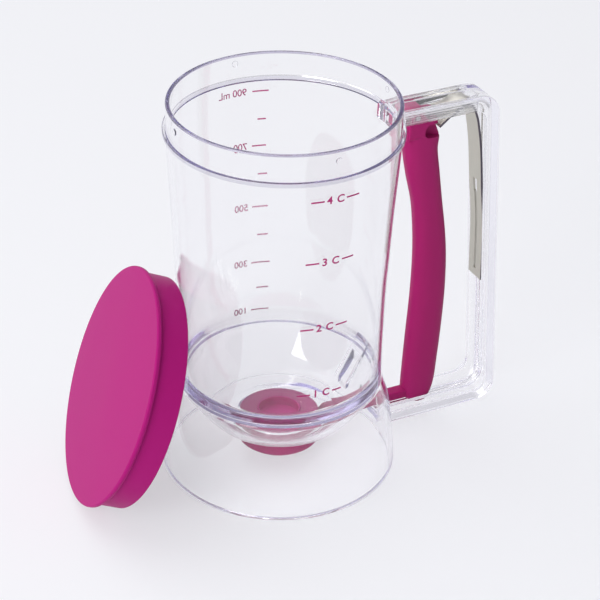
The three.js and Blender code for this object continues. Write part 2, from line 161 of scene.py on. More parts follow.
# Hinge pin, and the grip with its head and spring notch
HINGE_REACH = 64
HINGE_HEIGHT = 167.2
PIN_RADIUS = 1.2
PIN_EDGE = 0.2
GRIP_WIDTH = 10.8
GRIP_BOTTOM = 10
GRIP_TOP = 163
GRIP_REACH = 22
GRIP_ROUND = 4
GRIP_END_SHARE = 0.45
GRIP_POWER = 2.5
HEAD_FRONT = 4
HEAD_BACK = 11.4
HEAD_SKIRT = 12
HEAD_ROUND = 1.6
HEAD_CROWN_REACH = 3
HEAD_STEP_REACH = 4.5
HEAD_STEP_DROP = 4
HEAD_BACK_DROP = 5.8
HEAD_FRONT_CORNER = 3.6
HEAD_CROWN_CORNER = 2.2
HEAD_STEP_CORNER = 2
HEAD_BACK_CORNER = 1.4
DOME_TOP = 169.4
NOTCH_REACH = 68.6
NOTCH_LENGTH = 12
NOTCH_BOTTOM = 154.6
NOTCH_TOP = 161.8
NOTCH_WEB = 2.4
NOTCH_FLARE_BOTTOM = 1
NOTCH_FLARE_TOP = 0.6
NOTCH_CORNER_BOTTOM = 2.4
NOTCH_CORNER_TOP = 3.4

# Valve arm, with its ends in sockets in the grip and the cup
ARM_WIDTH = 6
ARM_BOTTOM = 13
ARM_TOP = 17.4
ARM_EDGE = 0.8
ARM_IN_GRIP = 5
ARM_TAPER_GAP = 3.3
ARM_TAPER = 3
ARM_CORNER_BELOW = 1
ARM_CORNER_ABOVE = 2
TONGUE_LENGTH = 8
TONGUE_THICKNESS = 3.2
TONGUE_GAP = 0.2
SOCKET_GAP = 0.15

# Valve cup and the soft seal in it
CUP_RADIUS = 19
CUP_BOTTOM = 8.6
CUP_TOP = 20.9
CUP_WALL = 2.2
CUP_EDGE = 2.5
CUP_RIM_EDGE = 0.4
CUP_FLOOR = 14.6
SEAL_RADIUS = 18.9
SEAL_TOP = 22.36
SEAL_TOP_EDGE = 0.4
SEAL_LOW_EDGE = 0.3
SEAL_GAP = 0.1
SEAL_LIFT = 0.05
SEAL_RECESS = 1.9
SEAL_RECESS_SLOPE = 1
SEAL_RECESS_EDGE = 0.3
SEAL_RECESS_GAP = 0.2

# Leaf spring, and the rib that stands in its slot
SPRING_WIDTH = 11.2
SPRING_THICKNESS = 1.1
SPRING_EDGE = 0.15
# How wide a strip along each side of the spring gets a dark steel as painted shade
SPRING_PAINTED_SHADE_EDGE = 0.2
SPRING_END = 72.5
SPRING_APEX = 168.95
SPRING_TIP_REACH = 75.9
SPRING_TIP_HEIGHT = 159.9
SPRING_OFF_WEB = 4.5
SPRING_SLOT_WIDTH = 1.8
SPRING_SLOT_BOTTOM = 76.5
SPRING_SLOT_TOP = 126
SPRING_HEAD_WIDTH = 3
SPRING_HEAD_LENGTH = 7
RIB_WIDTH = 1
RIB_BEHIND = 1.3

# Lid
LID_RADIUS = 55.7
LID_EDGE = 0.9
LID_PLATE = 2.4
LID_DOME = 0.8
LID_DEPTH = 15.5
LID_SKIRT_RADIUS = 53.8
LID_SKIRT_WALL = 1.5
LID_SKIRT_EDGE = 0.4
LID_INNER_FILLET = 0.4
LID_OUTER_FILLET = 0.3

# Gaps where parts meet, and how far shapes run past what they cut or join
CLEARANCE = 0.3
OVERRUN = 4
OVERLAP = 1

# Curves as shares: (height, flare) for foot and tube, (height, reach) for the grip's two sides
FOOT_FLARE_SHARES = [(0, 1), (0.17, 0.93), (0.4, 0.79), (0.6, 0.65), (0.74, 0.5), (0.88, 0.24), (1, 0)]
TUBE_FLARE_SHARES = [(0, 0), (0.33, 0.13), (0.5, 0.33), (0.7, 0.57), (0.9, 0.87), (1, 1)]
GRIP_FRONT_SHARES = [
    (0, 0.42), (0.012, 0.2), (0.046, 0.115), (0.131, 0.13), (0.249, 0.17), (0.38, 0.222), (0.505, 0.24),
    (0.61, 0.212), (0.721, 0.125), (0.82, -0.04), (0.918, -0.16), (1, -0.18),
]
GRIP_BACK_SHARES = [
    (0, 0.5), (0.012, 0.74), (0.06, 0.877), (0.138, 0.93), (0.249, 0.985), (0.361, 1.02), (0.446, 1.022),
    (0.538, 0.99), (0.623, 0.92), (0.721, 0.809), (0.82, 0.709), (0.898, 0.63), (0.938, 0.65),
    (0.962, 0.6), (0.985, 0.52), (1, 0.38),
]

# The spring as (reach, height) shares: up from its tip, and over its apex down the bar
SPRING_TIP_SHARES = [(0, 0), (0.2, 0.407), (0.376, 0.762), (0.496, 0.943)]
SPRING_LEG_SHARES = [
    (0.597, 1), (0.693, 0.99), (0.764, 0.97), (0.83, 0.93), (0.881, 0.876), (0.948, 0.735),
    (0.985, 0.513), (1.019, 0.347), (1.016, 0.181), (1, 0),
]

# The inside of the bowl as (radius, height), from the turn of its wall to the outlet
BOWL_FLOOR = [(33.7, 30), (31.4, 27.4), (28.6, 25.6), (25, 25), (18, 24.85), (11, 24.8)]

# The inside as (radius, height) where the bowl runs into the tube
BOWL_BLEND = [(45.42, 52.6), (44.54, 50), (43.59, 47.7)]

# Printed lines: the amount, the height, and the line's two ends in degrees from the handle
MILLILITRE_LINES = [
    (900, 166.2, 71.9, 80.5), (800, 152.2, 73.3, 77.8), (700, 138.9, 73.2, 81), (600, 125, 72.5, 77.9),
    (500, 107.8, 72.2, 81.2), (400, 93, 71.9, 78.2), (300, 78, 70.6, 81.8), (200, 64, 71.4, 78.6),
    (100, 51.6, 71, 82),
]

# For cups, with a line on each side of the label
CUP_LINES = [
    (4, 162.9, -103.2, -96.6, -85.1, -77.9), (3, 132, -104.7, -97.7, -85.4, -78.5),
    (2, 97.8, -106.2, -99.1, -86.5, -79.5), (1, 62.9, -107.1, -99.7, -86.9, -81.2),
]
LABELLED_AMOUNTS = (900, 700, 500, 300, 100)
FULL_AMOUNT = 900
MILLILITRE_LINE_WIDTH = 0.7
CUP_LINE_WIDTH = 0.8
MILLILITRE_TEXT = {"size": 4.9, "spacing": 0.98, "weight": 0.05}
CUP_TEXT = {"size": 5.2, "spacing": 1.1, "weight": 0.13}
LABEL_TURN = 6.6
FULL_LABEL_TURN = 11
INK_PROUD = 0.07

# Frosted faces of the jar, and the painted violet shade on its edges
FROST_GAP = 1
FROST_MARGIN = 0.1
RIM_PAINTED_SHADE_SHARE = 0.85
FLANGE_PAINTED_SHADE_SHARE = 0.5

# How finely round shapes are divided
SEGMENTS = 224
LID_SEGMENTS = 192
CUP_SEGMENTS = 128
CUT_SEGMENTS = 96
SLOT_SEGMENTS = 64
PIN_SEGMENTS = 32
SPHERE_STEPS = 27
CURVE_STEPS = 8
GRIP_LEVELS = 110
GRIP_SEGMENTS = 72
DOME_STEPS = 12
LINE_STEPS = 12


# Points and outlines

def mix(a, b, share):
    return a + (b - a) * share


def spline(points, steps=CURVE_STEPS):
    """Catmull-Rom points through the given points, ends included."""
    rows = [Vector(p) for p in points]
    rows = [rows[0] * 2 - rows[1]] + rows + [rows[-1] * 2 - rows[-2]]
    out = []
    for i in range(1, len(rows) - 2):
        p0, p1, p2, p3 = rows[i - 1:i + 3]
        for k in range(steps):
            t = k / steps
            out.append(0.5 * (2 * p1 + (p2 - p0) * t + (2 * p0 - 5 * p1 + 4 * p2 - p3) * t * t
                              + (3 * p1 - p0 - 3 * p2 + p3) * t ** 3))
    out.append(rows[-2])
    return [tuple(p) for p in out]


def across_at(line, height):
    """How far out a rising line of (across, height) points stands at a height."""
    for (x0, z0), (x1, z1) in zip(line, line[1:]):
        if z0 <= height <= z1:
            return mix(x0, x1, (height - z0) / (z1 - z0))
    return line[0][0] if height < line[0][1] else line[-1][0]


def edge_arc(centre_r, centre_z, radius, start, end, steps=4):
    """Part of a circle in a profile, with its angles in degrees."""
    angles = [math.radians(mix(start, end, k / steps)) for k in range(steps + 1)]
    return [(centre_r + radius * math.cos(a), centre_z + radius * math.sin(a)) for a in angles]


def corner(radius, height, edge, start, steps=4):
    """A rounded corner of a profile at a radius and height, from an angle of -90, 0, 90 or 180 degrees."""
    centre_r = radius - edge if start in (-90, 0) else radius + edge
    centre_z = height - edge if start in (0, 90) else height + edge
    return edge_arc(centre_r, centre_z, edge, start, start + 90, steps)


def rounded(corners, steps=6):
    """An outline with its corners rounded: (x, z, radius) for each."""
    out = []
    count = len(corners)
    for i, (x, z, radius) in enumerate(corners):
        here = Vector((x, z))
        before = Vector(corners[i - 1][:2])
        after = Vector(corners[(i + 1) % count][:2])
        to_before = (before - here).normalized()
        to_after = (after - here).normalized()
        if radius <= 0:
            out.append(tuple(here))
            continue
        half = to_before.angle(to_after) / 2
        reach = radius / math.tan(half)
        start = here + to_before * reach
        centre = here + (to_before + to_after).normalized() * (radius / math.sin(half))
        first = start - centre
        turn = math.pi - 2 * half
        side = 1 if to_before.cross(to_after) < 0 else -1
        for k in range(steps + 1):
            angle = side * turn * k / steps
            c, s = math.cos(angle), math.sin(angle)
            out.append((centre.x + c * first.x - s * first.y, centre.y + s * first.x + c * first.y))
    return out


def inset(outline, distance):
    """The outline moved inwards by a distance, corner by corner."""
    count = len(outline)
    area = sum(outline[i][0] * outline[(i + 1) % count][1] - outline[(i + 1) % count][0] * outline[i][1]
               for i in range(count))
    sign = 1 if area > 0 else -1
    out = []
    for i in range(count):
        a, b, c = Vector(outline[i - 1]), Vector(outline[i]), Vector(outline[(i + 1) % count])
        d1 = (b - a).normalized()
        d2 = (c - b).normalized()
        n1 = Vector((-d1.y, d1.x)) * sign
        n2 = Vector((-d2.y, d2.x)) * sign
        m = n1 + n2
        out.append(tuple(b + m * (distance * 2 / max(m.length_squared, 1))))
    return out


# Meshes

def new_object(name, data):
    made = bpy.data.objects.new(name, data)
    bpy.context.collection.objects.link(made)
    return made


def mesh_of(name, verts, faces):
    """A mesh with its doubled points merged and all faces outwards."""
    mesh = bpy.data.meshes.new(name)
    mesh.from_pydata(verts, [], faces)
    shaped = bmesh.new()
    shaped.from_mesh(mesh)
    bmesh.ops.remove_doubles(shaped, verts=shaped.verts, dist=1e-5)
    bmesh.ops.recalc_face_normals(shaped, faces=shaped.faces)
    shaped.to_mesh(mesh)
    shaped.free()
    return mesh


def turned(name, profile, segments=SEGMENTS):
    """A closed profile of (radius, height) points turned about Z. Points on the axis meet."""
    verts = []
    for k in range(segments):
        angle = 2 * math.pi * k / segments
        c, s = math.cos(angle), math.sin(angle)
        verts += [(r * c, r * s, z) for r, z in profile]
    count = len(profile)
    faces = []
    for k in range(segments):
        after = (k + 1) % segments
        for i in range(count):
            j = (i + 1) % count
            if profile[i][0] == 0 and profile[j][0] == 0:
                continue
            ring = [k * count + i, after * count + i, after * count + j, k * count + j]
            if profile[i][0] == 0:
                ring = ring[:1] + ring[2:]
            elif profile[j][0] == 0:
                ring = ring[:3]
            faces.append(ring)
    return mesh_of(name, verts, faces)


def slab(name, outline, width, edge=0.0, steps=4):
    """An outline in X and Z, thick along Y and centred on y = 0, with its edges rounded."""
    half = width / 2
    layers = [(-half, 0)]
    if edge > 0:
        angles = [math.pi / 2 * k / steps for k in range(steps + 1)]
        layers = [(-half + edge * (1 - math.cos(a)), edge * (1 - math.sin(a))) for a in angles]
    layers += [(-y, distance) for y, distance in reversed(layers)]
    verts = []
    for y, distance in layers:
        verts += [(x, y, z) for x, z in (inset(outline, distance) if distance else outline)]
    count = len(outline)
    faces = [list(range(count))]
    for layer in range(len(layers) - 1):
        base = layer * count
        for i in range(count):
            j = (i + 1) % count
            faces.append([base + i, base + j, base + count + j, base + count + i])
    base = (len(layers) - 1) * count
    faces.append([base + i for i in range(count)])
    return mesh_of(name, verts, faces)


def box_between(name, x0, x1, z0, z1, width):
    """A box between two places in X and two in Z, centred on y = 0."""
    return slab(name, [(x0, z0), (x1, z0), (x1, z1), (x0, z1)], width)


def cross_pin(name, x, z, radius, length, edge=0.0):
    """A round pin along Y, centred on y = 0."""
    angles = [2 * math.pi * k / PIN_SEGMENTS for k in range(PIN_SEGMENTS)]
    circle = [(x + radius * math.cos(a), z + radius * math.sin(a)) for a in angles]
    return slab(name, circle, length, edge)


def combined(mesh, *changes):
    """The mesh after its changes in turn, each an operation and another mesh."""
    base = new_object("solid", mesh)
    helpers = []
    for operation, other in changes:
        helper = new_object("helper", other)
        helpers.append(helper)
        modifier = base.modifiers.new(operation, "BOOLEAN")
        modifier.operation = operation
        modifier.solver = "MANIFOLD"
        modifier.object = helper
    graph = bpy.context.evaluated_depsgraph_get()
    result = bpy.data.meshes.new_from_object(base.evaluated_get(graph))
    for helper in [base] + helpers:
        bpy.data.objects.remove(helper)
    result.materials.clear()
    return result


def finished(name, mesh, material, smooth=35, moved=ONTO_FRAME):
    """A piece from a mesh in millimetres, smooth over edges below an angle in degrees."""
    mesh.transform(moved)
    mesh.name = name
    mesh.shade_smooth()
    mesh.set_sharp_from_angle(angle=math.radians(smooth))
    mesh.materials.clear()
    mesh.materials.append(material)
    piece = new_object(name, mesh)
    weighted = piece.modifiers.new("weighted", "WEIGHTED_NORMAL")
    weighted.keep_sharp = True
    weighted.weight = 100
    graph = bpy.context.evaluated_depsgraph_get()
    piece.data = bpy.data.meshes.new_from_object(piece.evaluated_get(graph))
    piece.data.name = name
    piece.modifiers.clear()
    return piece


def mark_faces(piece, name, mark):
    """Marks each face with the number that its centre gives, in millimetres from the jar's axis."""
    marks = piece.data.attributes.new(name, "FLOAT", "FACE")
    for face in piece.data.polygons:
        marks.data[face.index].value = mark((face.center - AXIS) / MM)


# Shader nodes

def feed(tree, node, inputs):
    """Gives a node's inputs, by name or number, a value or another node's output."""
    for name, value in inputs.items():
        if isinstance(value, bpy.types.NodeSocket):
            tree.links.new(value, node.inputs[name])
        else:
            node.inputs[name].default_value = value


def add_node(tree, kind, inputs=None, **settings):
    node = tree.nodes.new("ShaderNode" + kind)
    for name, value in settings.items():
        setattr(node, name, value)
    feed(tree, node, inputs or {})
    return node


def object_place(tree):
    return add_node(tree, "TexCoord").outputs["Object"]


def attribute(tree, name):
    return add_node(tree, "Attribute", attribute_name=name).outputs["Fac"]


def noise(tree, place, scale, detail):
    return add_node(tree, "TexNoise", {"Vector": place, "Scale": scale, "Detail": detail}).outputs["Fac"]


def bumped(tree, height, strength, distance):
    bump = add_node(tree, "Bump", {"Height": height, "Strength": strength, "Distance": distance})
    return bump.outputs["Normal"]


def calculated(tree, operation, *values):
    return add_node(tree, "Math", dict(enumerate(values)), operation=operation).outputs["Value"]


def ranged(tree, value, lowest, highest):
    """A value from 0 to 1 laid between a lowest and a highest one."""
    inputs = {"Value": value, "To Min": lowest, "To Max": highest}
    return add_node(tree, "MapRange", inputs).outputs["Result"]


def between_colours(tree, factor, first, second):
    inputs = {"Factor": factor, "A": (*first, 1), "B": (*second, 1)}
    return add_node(tree, "Mix", inputs, data_type="RGBA").outputs["Result"]


def between_shaders(tree, factor, first, second):
    return add_node(tree, "MixShader", {"Fac": factor, 1: first, 2: second}).outputs["Shader"]


def background_rays(tree):
    """1 for rays of the camera, gloss and clear plastic, and 0 for light on the object."""
    path = add_node(tree, "LightPath").outputs
    seen = calculated(tree, "MAXIMUM", path["Is Camera Ray"], path["Is Glossy Ray"])
    return calculated(tree, "MAXIMUM", seen, path["Is Transmission Ray"])


# Materials

def node_material(name):
    material = bpy.data.materials.new(name)
    material.use_nodes = True
    tree = material.node_tree
    return material, tree, tree.nodes["Principled BSDF"]


def clear_plastic(name, shadow):
    """Clear moulded plastic with faint waves and haze, violet in its depth, with a pale shadow, and with
    painted violet shade on the faces marked as edges.
    """
    material, tree, shader = node_material(name)
    place = object_place(tree)
    haze = ranged(tree, noise(tree, place, scale=60, detail=4), lowest=0.015, highest=0.05)
    frost_roughness = 0.22
    # Faces marked as edges get this violet in their colour as painted shade
    painted_edge_shade_violet = (0.28, 0.24, 0.42)
    feed(tree, shader, {
        "Base Color": between_colours(tree, attribute(tree, "edge"), (1, 1, 1), painted_edge_shade_violet),
        "Transmission Weight": 1,
        "IOR": 1.5,
        "Roughness": calculated(tree, "MULTIPLY_ADD", attribute(tree, "frosted"), frost_roughness, haze),
        "Normal": bumped(tree, noise(tree, place, scale=22, detail=2), strength=0.12, distance=0.0004),
    })
    through = add_node(tree, "BsdfTransparent", {"Color": shadow}).outputs["BSDF"]
    shadow_ray = add_node(tree, "LightPath").outputs["Is Shadow Ray"]
    depth = add_node(tree, "VolumeAbsorption", {"Color": (0.46, 0.41, 0.72, 1), "Density": 9})
    feed(tree, tree.nodes["Material Output"], {
        "Surface": between_shaders(tree, shadow_ray, shader.outputs["BSDF"], through),
        "Volume": depth.outputs["Volume"],
    })
    return material


def satin_plastic(name, colour, deep, roughness=0.4, shine=0.15, spread=0.05):
    """Coloured moulded plastic with a fine grain, a little uneven in tone and gloss."""
    material, tree, shader = node_material(name)
    place = object_place(tree)
    cloud = noise(tree, place, scale=18, detail=3)
    feed(tree, shader, {
        "Base Color": between_colours(tree, cloud, deep, colour),
        "Normal": bumped(tree, noise(tree, place, scale=2600, detail=2), strength=0.12, distance=0.0001),
        "Roughness": ranged(tree, cloud, roughness - spread, roughness + spread),
        "Specular IOR Level": shine,
        "Subsurface Weight": 0.1,
        "Subsurface Radius": (1, 0.25, 0.5),
        "Subsurface Scale": 0.002,
    })
    return material


def brushed_steel(name, colour, stretch, roughness, spread=0.08, dark_share=0.82):
    """Steel with brush lines, as fine along X, Y and Z as the stretch says."""
    material, tree, shader = node_material(name)
    lines = add_node(tree, "Mapping", {"Vector": object_place(tree), "Scale": stretch})
    brush = noise(tree, lines.outputs["Vector"], scale=1, detail=5)
    feed(tree, shader, {
        "Metallic": 1,
        "Base Color": between_colours(tree, brush, [c * dark_share for c in colour], colour),
        "Roughness": ranged(tree, brush, roughness - spread, roughness + spread),
        "Normal": bumped(tree, brush, strength=0.3, distance=0.00005),
    })
    return material


CLEAR = clear_plastic("clear_plastic", (0.99, 0.989, 0.992, 1))
MAGENTA = satin_plastic("magenta_plastic", (0.38, 0.016, 0.135), (0.345, 0.013, 0.12), shine=0.1)
LID_MAGENTA = satin_plastic(
    "lid_plastic", (0.425, 0.012, 0.185), (0.4, 0.01, 0.17), roughness=0.42, shine=0.06)
SEAL = satin_plastic("magenta_seal", (0.56, 0.052, 0.26), (0.5, 0.044, 0.23), roughness=0.55)
INK = satin_plastic("scale_ink", (0.5, 0.04, 0.2), (0.45, 0.03, 0.17), roughness=0.6)
ALONG_SPRING = (900, 900, 14)
ROUND_PIN = (60, 2200, 2200)
# A dark steel for the spring's side faces: painted shade along its edges
SPRING_PAINTED_SHADE_STEEL = brushed_steel("spring_edge_painted_shade", (0.13, 0.115, 0.14), ALONG_SPRING, roughness=0.45)
SPRING_STEEL = brushed_steel("spring_steel", (0.62, 0.6, 0.53), ALONG_SPRING, roughness=0.38)
PIN_STEEL = brushed_steel("pin_steel", (0.6, 0.59, 0.62), ROUND_PIN, roughness=0.3)


# The clear jar: foot, bowl, tube and handle, which are welded into one

def flare(shares, low_radius, high_radius, bottom, top, clearance=0.0):
    """A flared wall as (radius, height) points, moved out by a clearance."""
    points = [(mix(low_radius, high_radius, flare_share) + clearance, mix(bottom, top, height_share))
              for height_share, flare_share in shares]
    return spline(points)


def foot_outside(clearance=0.0):
    return flare(FOOT_FLARE_SHARES, RING_RADIUS, FOOT_RADIUS, 0, FOOT_TOP, clearance)


def tube_outside(clearance=0.0):
    radii = (TUBE_FOOT_RADIUS, TUBE_TOP_RADIUS)
    return flare(TUBE_FLARE_SHARES, *radii, TUBE_BOTTOM, FLANGE_BOTTOM, clearance)


def tube_radius_at(height):
    return across_at(tube_outside(), height)


def sphere_points(radius, from_height, to_height):
    """Points of a sphere about the bowl's centre, between two heights."""
    start = math.asin((from_height - BOWL_CENTRE) / radius)
    end = math.asin((to_height - BOWL_CENTRE) / radius)
    angles = [mix(start, end, k / SPHERE_STEPS) for k in range(SPHERE_STEPS + 1)]
    return [(radius * math.cos(a), BOWL_CENTRE + radius * math.sin(a)) for a in angles]


def sphere_reach(radius, height):
    return math.sqrt(radius ** 2 - (BOWL_CENTRE - height) ** 2)


def jar_profile():
    """Foot, bowl, tube and neck in section: up the outside, down the inside, back under the bowl."""
    foot = [p for p in foot_outside() if p[1] > FOOT_EDGE]
    foot_in = [p for p in foot_outside(-FOOT_WALL) if p[1] > FOOT_EDGE]
    tube_in = [p for p in tube_outside(-TUBE_WALL) if p[1] > BLEND_TOP]
    inner = BOWL_RADIUS - BOWL_WALL
    blend_start = (tube_radius_at(BLEND_TOP) - TUBE_WALL, BLEND_TOP)
    blend_end = (sphere_reach(inner, BLEND_BOTTOM), BLEND_BOTTOM)
    lip_rounding = OUTLET_LIP * OUTLET_LIP_SHARE
    groove_side = GROOVE_TOP - GROOVE_CROWN_HEIGHT
    outside = [
        *corner(FOOT_RADIUS, 0, FOOT_EDGE, -90),
        *foot,
        (RING_RADIUS, (RING_BOTTOM + RING_TOP) / 2),
        (RING_RADIUS - RING_CROWN_WIDTH, RING_TOP - RING_CROWN_HEIGHT),
        *tube_outside()[1:-1],
        (TUBE_TOP_RADIUS, FLANGE_BOTTOM - TUBE_END),
        *corner(FLANGE_RADIUS, FLANGE_BOTTOM, FLANGE_EDGE, -90),
        *corner(FLANGE_RADIUS, FLANGE_TOP, FLANGE_EDGE, 0),
        (NECK_RADIUS + NECK_FILLET, FLANGE_TOP),
        (NECK_RADIUS, FLANGE_TOP + NECK_FILLET),
        *corner(NECK_RADIUS, RIM_HEIGHT, NECK_EDGE, 0, steps=8),
    ]
    inside = [
        *corner(NECK_RADIUS - NECK_WALL, RIM_HEIGHT, NECK_EDGE, 90, steps=8),
        *reversed(tube_in),
        *spline([blend_start, *BOWL_BLEND, blend_end], steps=5)[:-1],
        *sphere_points(inner, BLEND_BOTTOM, BOWL_TURN),
        *spline(BOWL_FLOOR, steps=4)[1:],
        (OUTLET_RADIUS + lip_rounding, OUTLET_TOP - lip_rounding),
        (OUTLET_RADIUS, OUTLET_TOP - OUTLET_LIP),
        (OUTLET_RADIUS, BOWL_BASE),
        *sphere_points(BOWL_RADIUS, BOWL_BASE, groove_side),
        (GROOVE_RADIUS, GROOVE_TOP),
        (GROOVE_RADIUS + GROOVE_CROWN_WIDTH, groove_side),
        *reversed(foot_in),
        *edge_arc(FOOT_RADIUS - FOOT_WALL, FOOT_EDGE, FOOT_EDGE, 180, 270),
    ]
    return outside + inside


def bar_reach(height):
    """How far the outside of the handle's bar stands from the tube's axis."""
    return mix(BAR_REACH_BOTTOM, BAR_REACH_TOP, (height - HANDLE_BOTTOM) / (HANDLE_TOP - HANDLE_BOTTOM))


def bar_inside(height):
    return bar_reach(height) - BAR_DEPTH


def spring_line(height):
    """Where the spring stands off the web of the bar."""
    return bar_reach(height) - HANDLE_WEB - SPRING_OFF_WEB


def handle_body():
    return slab("handle", rounded([
        (0, HANDLE_TOP, 0),
        (0, TOP_ARM_UNDER, 0),
        (bar_inside(TOP_ARM_UNDER), TOP_ARM_UNDER, INNER_CORNER_TOP),
        (bar_inside(BOTTOM_ARM_TOP), BOTTOM_ARM_TOP, INNER_CORNER_BOTTOM),
        (0, BOTTOM_ARM_TOP, 0),
        (0, HANDLE_BOTTOM, 0),
        (bar_reach(HANDLE_BOTTOM), HANDLE_BOTTOM, OUTER_CORNER_BOTTOM),
        (bar_reach(HANDLE_TOP), HANDLE_TOP, OUTER_CORNER_TOP),
    ], steps=10), HANDLE_WIDTH, HANDLE_EDGE)


def handle_channel(root):
    """The room inside the handle, from the root of the top arm on."""
    floor = HANDLE_BOTTOM + HANDLE_WEB
    roof = HANDLE_TOP - HANDLE_WEB
    return slab("channel", rounded([
        (root, roof, CHANNEL_CORNER),
        (root, TOP_ARM_UNDER - OVERRUN, 0),
        (bar_inside(TOP_ARM_UNDER) - OVERRUN, TOP_ARM_UNDER - OVERRUN, 0),
        (bar_inside(BOTTOM_ARM_TOP) - OVERRUN, BOTTOM_ARM_TOP + OVERRUN, 0),
        (0, BOTTOM_ARM_TOP + OVERRUN, 0),
        (0, floor, 0),
        (bar_reach(floor) - HANDLE_WEB, floor, OUTER_CORNER_BOTTOM - HANDLE_WEB),
        (bar_reach(roof) - HANDLE_WEB, roof, OUTER_CORNER_TOP - HANDLE_WEB),
    ], steps=10), HANDLE_WIDTH - 2 * HANDLE_WALL, CHANNEL_ROUND, steps=8)


def spring_rib():
    """The rib on the web of the bar, which stands in the spring's slot."""
    bottom = SPRING_SLOT_BOTTOM + CLEARANCE
    top = SPRING_SLOT_TOP - SPRING_HEAD_LENGTH - CLEARANCE
    return slab("rib", [
        (spring_line(bottom) + RIB_BEHIND, bottom),
        (bar_reach(bottom) - HANDLE_WEB / 2, bottom),
        (bar_reach(top) - HANDLE_WEB / 2, top),
        (spring_line(top) + RIB_BEHIND, top),
    ], RIB_WIDTH)


def rooms_inside():
    """The insides of tube and foot, which stay free of the handle's root."""
    tube = [
        (0, RING_TOP),
        *tube_outside(-ROOT_SINK),
        (TUBE_TOP_RADIUS - ROOT_SINK, RIM_HEIGHT),
        (0, RIM_HEIGHT),
    ]
    foot = [
        (0, -OVERLAP),
        (FOOT_RADIUS - ROOT_SINK, -OVERLAP),
        *foot_outside(-ROOT_SINK),
        (RING_RADIUS - ROOT_SINK, RING_TOP),
        (0, RING_TOP),
    ]
    return [turned("room", profile, CUT_SEGMENTS) for profile in (tube, foot)]


def arm_flutes(side, start, end):
    """Fine lengthwise flutes inside one wall of the top arm."""
    wall = side * (HANDLE_WIDTH / 2 - HANDLE_WALL)
    deep = side * FLUTE_DEPTH
    bottom = TOP_ARM_UNDER - FLUTE_PITCH
    top = TOP_ARM_UNDER + FLUTE_PITCH * FLUTES
    outline = [(wall - deep, bottom), (wall, bottom)]
    for k in range(FLUTES):
        height = TOP_ARM_UNDER + FLUTE_PITCH * k
        outline += [(wall, height), (wall + deep, height + FLUTE_PITCH / 2)]
    outline += [(wall, top), (wall - deep, top)]
    flutes = slab("flutes", outline, end - start)
    turn = Matrix.Rotation(math.pi / 2, 4, "Z")
    flutes.transform(Matrix.Translation(((start + end) / 2, 0, 0)) @ turn)
    return flutes


def handle_mesh():
    root = tube_radius_at(TOP_ARM_UNDER) + ROOT_BLOCK
    flutes_end = bar_reach(HANDLE_TOP) - OUTER_CORNER_TOP
    return combined(
        handle_body(),
        ("DIFFERENCE", handle_channel(root)),
        ("UNION", spring_rib()),
        *[("DIFFERENCE", room) for room in rooms_inside()],
        *[("DIFFERENCE", arm_flutes(side, root, flutes_end)) for side in (-1, 1)],
    )


def pocket_housing():
    """The pocket's roof and walls, as far as the middle of the bowl's wall."""
    inner = BOWL_RADIUS - BOWL_WALL
    roof_end = sphere_reach(inner, POCKET_TOP) + OVERLAP
    housing = slab("housing", rounded([
        (POCKET_NOSE, POCKET_FLOOR, 0),
        (roof_end, POCKET_FLOOR, 0),
        (roof_end, POCKET_TOP + OVERLAP, 0),
        (POCKET_NOSE, POCKET_NOSE_HEIGHT, POCKET_CORNER),
    ]), POCKET_WIDTH, POCKET_EDGE)
    bottom = POCKET_FLOOR - OVERLAP
    bowl_inside = turned("inside", [
        (0, bottom),
        *reversed(sphere_points((BOWL_RADIUS + inner) / 2, POCKET_TOP, bottom)),
        (0, POCKET_TOP),
    ], CUT_SEGMENTS)
    return combined(housing, ("INTERSECT", bowl_inside))


def pocket_hollow():
    """The room in the pocket, which is open below."""
    start = POCKET_NOSE + POCKET_WALL
    end = sphere_reach(BOWL_RADIUS - BOWL_WALL, POCKET_TOP) - POCKET_WALL
    return slab("hollow", rounded([
        (start, HOLLOW_BOTTOM, 0),
        (end, HOLLOW_BOTTOM, 0),
        (end, POCKET_TOP - 2 * POCKET_WALL - HOLLOW_DROP, POCKET_CORNER),
        (start, POCKET_NOSE_HEIGHT - POCKET_WALL, POCKET_CORNER),
    ]), POCKET_WIDTH - 2 * POCKET_WALL, HOLLOW_EDGE)


def seat_room():
    """The recess for the seal, with a ramp towards the handle on which the cup swings out."""
    shaped = bmesh.new()
    for across, top in ((0, SEAT_HEIGHT), (SEAT_RUN, SEAT_HEIGHT - SEAT_FALL)):
        for k in range(CUT_SEGMENTS):
            angle = 2 * math.pi * k / CUT_SEGMENTS
            x, y = across + SEAT_RADIUS * math.cos(angle), SEAT_RADIUS * math.sin(angle)
            shaped.verts.new((x, y, top))
            shaped.verts.new((x, y, CUP_BOTTOM))
    hull = bmesh.ops.convex_hull(shaped, input=shaped.verts)
    bmesh.ops.delete(shaped, geom=hull["geom_interior"], context="VERTS")
    mesh = bpy.data.meshes.new("seat_room")
    shaped.to_mesh(mesh)
    shaped.free()
    return mesh


def foot_slot():
    """The valve arm's slot, from the pocket out through the foot."""
    slot = box_between("slot", 0, FOOT_RADIUS + OVERRUN, ARM_BOTTOM - SLOT_BELOW,
                       ARM_TOP + SLOT_ABOVE, ARM_WIDTH + 2 * SLOT_BESIDE)
    start = RING_RADIUS - POCKET_WIDTH / 2
    keep = turned("keep", [(0, 0), (start, 0), (start, RING_TOP), (0, RING_TOP)], SLOT_SEGMENTS)
    return combined(slot, ("DIFFERENCE", keep))


def lid_stud(k):
    """One of the round studs on the neck."""
    length = NECK_WALL / 2 + STUD_PROUD
    stud = cross_pin("stud", 0, STUD_HEIGHT, STUD_RADIUS, length, STUD_EDGE)
    turn = Matrix.Rotation(2 * math.pi * k / STUDS, 4, "Z")
    stud.transform(turn @ Matrix.Translation((0, NECK_RADIUS + STUD_PROUD - length / 2, 0)))
    return stud


